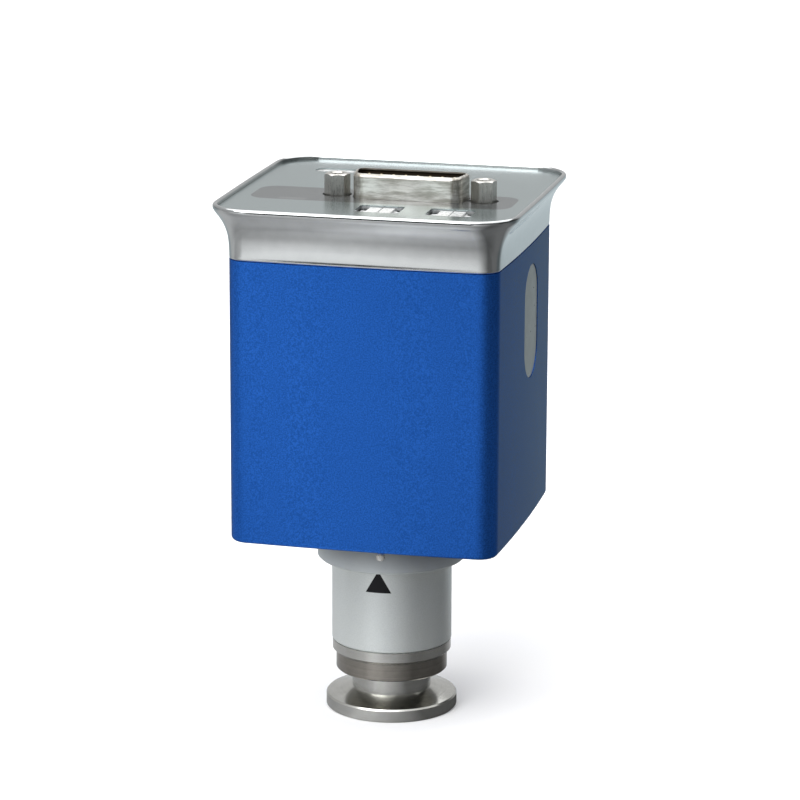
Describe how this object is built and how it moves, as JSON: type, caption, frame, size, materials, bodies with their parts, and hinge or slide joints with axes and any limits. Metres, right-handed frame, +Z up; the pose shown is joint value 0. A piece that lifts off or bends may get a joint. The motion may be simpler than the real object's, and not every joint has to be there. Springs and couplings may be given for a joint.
{
  "type": "hot cathode ionization gauge",
  "caption": "Compact vacuum gauge: square blue housing with a flared bright bezel, D-shaped connector on top and a clamp-flanged sensor head below.",
  "frame": {"origin": "centre of the vacuum flange's sealing face, which the gauge stands on", "axes": "+Z up along the sensor's axis to the connector, -Y to the front, +X to the side with the status window"},
  "size_m": [0.0688, 0.0688, 0.1256],
  "materials": {
    "blue_anodised": "fine bead-blasted blue anodised aluminium",
    "bright_bezel": "polished and plated",
    "panel_steel": "satin",
    "overlay": "glossy grey-blue printed film",
    "tin_plate": "bright tin plate",
    "insulator": "black moulded",
    "gold_contact": "plated",
    "nickel": "nickel plate",
    "light_block": "white translucent",
    "diffuser": "grey-green translucent",
    "board": "green solder mask",
    "component": "black",
    "ferrite": "sintered",
    "winding": "taped",
    "can_sleeve": "dark sleeve",
    "satin_aluminium": "satin anodised",
    "sleeve_silver": "matt bluish silver",
    "stainless": "turned",
    "socket_plastic": "natural moulded",
    "glass": "sealing glass",
    "electrode": "bare wire",
    "zinc": "zinc plated"
  },
  "bodies": {
    "root": {"anode_grid": "electrode", "capacitors": "can_sleeve", "collar": "satin_aluminium", "collar_screws": "zinc", "control_board": "board", "control_chips": "component", "dsub_front_shell": "tin_plate", "dsub_insulator": "insulator", "dsub_pins": "gold_contact", "dsub_rear_shell": "tin_plate", "feedthrough_header": "stainless", "feedthrough_leads": "electrode", "filament_a": "electrode", "filament_b": "electrode", "floor_screws": "zinc", "glass_beads": "glass", "housing": "blue_anodised", "indicator_left": "light_block", "indicator_right": "light_block", "io_board": "board", "ion_collector": "electrode", "jack_nuts": "nickel", "jackscrew_left": "nickel", "jackscrew_right": "nickel", "locking_screw": "nickel", "lower_board_link": "component", "lower_standoffs": "zinc", "middle_standoffs": "zinc", "panel_overlay": "overlay", "panel_plate": "panel_steel", "port_screen": "stainless", "power_board": "board", "rear_guide": "light_block", "rear_led": "light_block", "sensor_body": "stainless", "sensor_sleeve": "sleeve_silver", "socket_body": "socket_plastic", "socket_contacts": "gold_contact", "status_board": "board", "status_leds": "light_block", "status_window": "diffuser", "stud_nuts": "zinc", "top_bezel": "bright_bezel", "transformer_core": "ferrite", "transformer_winding": "winding", "upper_board_link": "component", "upper_standoffs": "zinc"}
  },
  "joints": []
}
